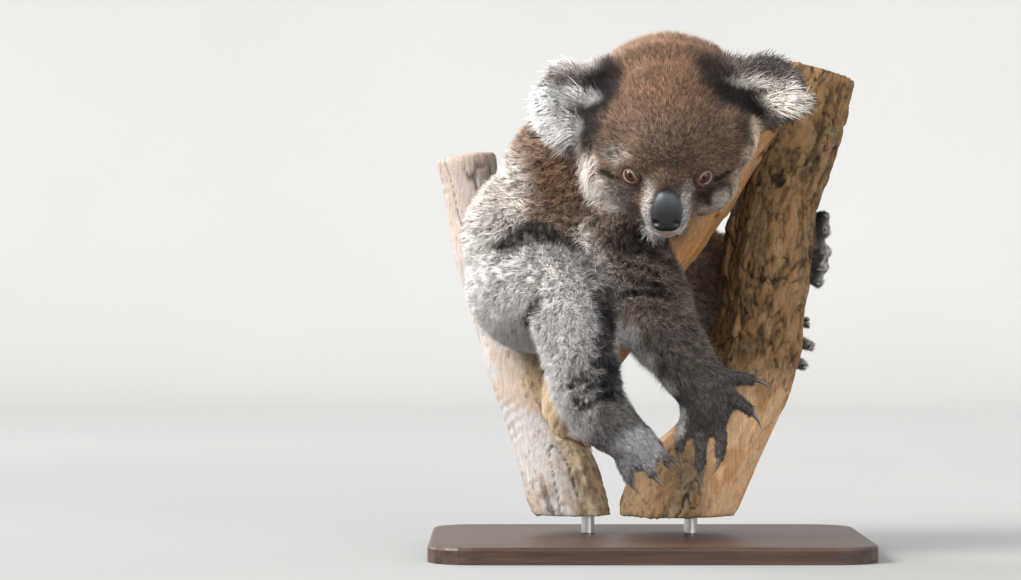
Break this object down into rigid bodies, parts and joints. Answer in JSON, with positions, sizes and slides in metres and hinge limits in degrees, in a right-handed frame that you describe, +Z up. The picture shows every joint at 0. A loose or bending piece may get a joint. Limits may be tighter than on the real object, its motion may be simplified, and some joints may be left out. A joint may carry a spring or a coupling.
{
  "type": "koala",
  "caption": "Life-size still model of a koala draped over a forked branch, head turned to the side, one arm and one leg hanging, on a flat base with two short rods",
  "frame": {"origin": "middle of the stand's underside, which is the bottom centre of the whole part", "axes": "+Z up; the animal's right side faces -Y and its chest faces +X, the head is turned to face -Y"},
  "size_m": [0.42, 0.312, 0.5065],
  "materials": {
    "fur": "dense woolly coat, grey-brown",
    "nose_leather": "fine-grained, satin",
    "eye": "wet gloss",
    "claw": "horn, semi-gloss",
    "bark": "flaky bark, matte",
    "pale_wood": "smooth pale bark, matte",
    "stand_wood": "dark stained, satin",
    "stand_steel": "brushed"
  },
  "bodies": {
    "root": {"trunk_rear": "fur", "trunk_front": "fur", "neck": "fur", "head": "fur", "ear_left": "fur", "ear_right": "fur", "upper_arm_right": "fur", "forearm_right": "fur", "hand_right": "fur", "upper_arm_left": "fur", "forearm_left": "fur", "hand_left": "fur", "thigh_right": "fur", "shin_right": "fur", "foot_right": "fur", "thigh_left": "fur", "shin_left": "fur", "foot_left": "fur", "nose": "nose_leather", "eye_left": "eye", "eye_right": "eye", "claw_hand_left_1": "claw", "claw_hand_left_2": "claw", "claw_hand_left_3": "claw", "claw_hand_left_4": "claw", "claw_hand_left_5": "claw", "claw_foot_left_2": "claw", "claw_foot_left_3": "claw", "claw_foot_left_4": "claw", "claw_foot_left_5": "claw", "claw_hand_right_1": "claw", "claw_hand_right_2": "claw", "claw_hand_right_3": "claw", "claw_hand_right_4": "claw", "claw_hand_right_5": "claw", "claw_foot_right_2": "claw", "claw_foot_right_3": "claw", "claw_foot_right_4": "claw", "claw_foot_right_5": "claw", "perch_trunk": "bark", "perch_limb": "pale_wood", "perch_branch": "pale_wood", "stand_base": "stand_wood", "stand_rod_limb": "stand_steel", "stand_rod_trunk": "stand_steel"}
  },
  "joints": []
}
